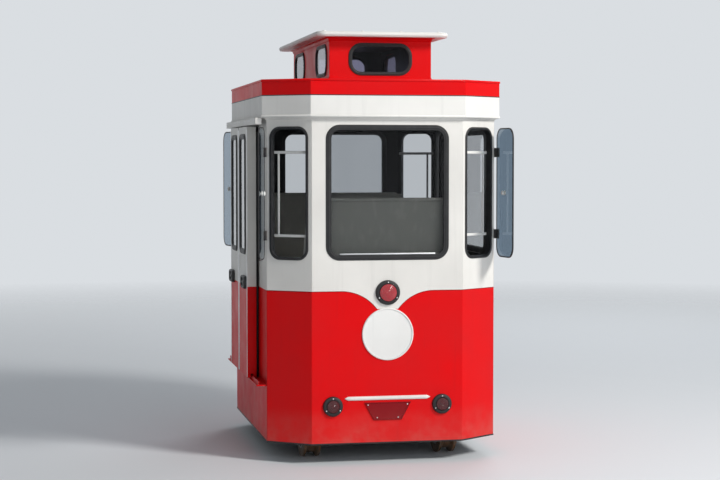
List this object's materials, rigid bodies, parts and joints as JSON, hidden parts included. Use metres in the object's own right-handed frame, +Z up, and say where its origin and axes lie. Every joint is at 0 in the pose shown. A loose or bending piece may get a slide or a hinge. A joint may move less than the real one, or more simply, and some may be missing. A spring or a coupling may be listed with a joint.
{
  "type": "elevated rail cabin",
  "caption": "Small octagonal cabin for an elevated light railway, with sliding double doors, open corner sashes and a clerestory roof, on two flanged wheelsets.",
  "frame": {"origin": "on the floor under the middle of the cabin body, at the lowest point of the wheels", "axes": "+Z up, -Y towards the front end, -X towards the side with the doors"},
  "size_m": [1.6655, 2.0984, 2.76],
  "materials": {
    "body_red": "gloss-painted glass-fibre moulding",
    "body_cream": "gloss-painted glass-fibre moulding",
    "roof_white": "gloss-painted moulding",
    "plate_red": "dark red paint, bare of wording",
    "disc_white": "white disc, bare of numbers",
    "knob_white": "small white plastic knob",
    "rubber_black": "moulded black rubber",
    "glass_clear": "clear window acrylic",
    "glass_smoke": "smoke-tinted acrylic",
    "glass_dark": "dark tinted acrylic",
    "lens_red": "red lamp lens",
    "lens_dark": "dark red lamp lens",
    "bright_metal": "satin anodised aluminium",
    "frame_black": "black chassis paint",
    "motor_grey": "grey machine enamel",
    "wheel_steel": "turned steel",
    "tyre_poly": "dark polyurethane tyre",
    "seat_grey": "moulded grey seat shell",
    "floor_grey": "ribbed grey floor covering"
  },
  "bodies": {
    "cabin": {"underframe": "frame_black", "jack_pads": "frame_black", "tow_eyes": "frame_black", "floor_panel": "floor_grey", "end_panel_front": "body_red", "end_panel_rear": "body_red", "end_frame_front": "body_cream", "end_frame_rear": "body_cream", "corner_frames": "body_cream", "side_panel_left": "body_red", "side_panel_right": "body_red", "side_frame_left": "body_cream", "side_frame_right": "body_cream", "door_tread": "bright_metal", "cornice_band": "roof_white", "roof_deck": "body_red", "clerestory_walls": "body_red", "clerestory_cap": "roof_white", "clerestory_glass": "glass_dark", "clerestory_gaskets": "rubber_black", "window_glass": "glass_clear", "window_gaskets": "rubber_black", "window_sashes": "glass_smoke", "window_hinges": "frame_black", "window_knobs": "knob_white", "window_guards": "bright_metal", "bench_front": "seat_grey", "bench_rear": "seat_grey", "lamp_rims": "rubber_black", "lamp_lenses": "lens_red", "lower_lenses": "lens_dark", "number_discs": "disc_white", "lower_trim": "roof_white", "lower_plates": "plate_red", "door_rail_top": "body_cream", "door_rail_bottom": "body_red", "axle_boxes": "frame_black", "motor": "motor_grey", "collector": "frame_black"},
    "door_front": {"door_panel_front": "body_red", "door_frame_front": "body_cream", "door_glass_front": "glass_clear", "door_seals_front": "rubber_black", "door_grip_front": "rubber_black"},
    "door_rear": {"door_panel_rear": "body_red", "door_frame_rear": "body_cream", "door_glass_rear": "glass_clear", "door_seals_rear": "rubber_black", "door_grip_rear": "rubber_black"},
    "wheelset_front": {"axle_front": "wheel_steel", "tyres_front": "tyre_poly"},
    "wheelset_rear": {"axle_rear": "wheel_steel", "tyres_rear": "tyre_poly"}
  },
  "joints": [
    {"name": "door_front_slide", "type": "slide", "parent": "cabin", "child": "door_front", "axis": [0, -1, 0], "range_m": [0, 0.32]},
    {"name": "door_rear_slide", "type": "slide", "parent": "cabin", "child": "door_rear", "axis": [0, 1, 0], "range_m": [0, 0.32]},
    {"name": "front_axle_spin", "type": "hinge", "parent": "cabin", "child": "wheelset_front", "pos_m": [0, -0.6, 0.185], "axis": [1, 0, 0], "continuous": true},
    {"name": "rear_axle_spin", "type": "hinge", "parent": "cabin", "child": "wheelset_rear", "pos_m": [0, 0.6, 0.185], "axis": [1, 0, 0], "continuous": true}
  ],
  "couplings": [
    {"joint": "door_rear_slide", "follows": "door_front_slide", "ratio": 1}
  ]
}
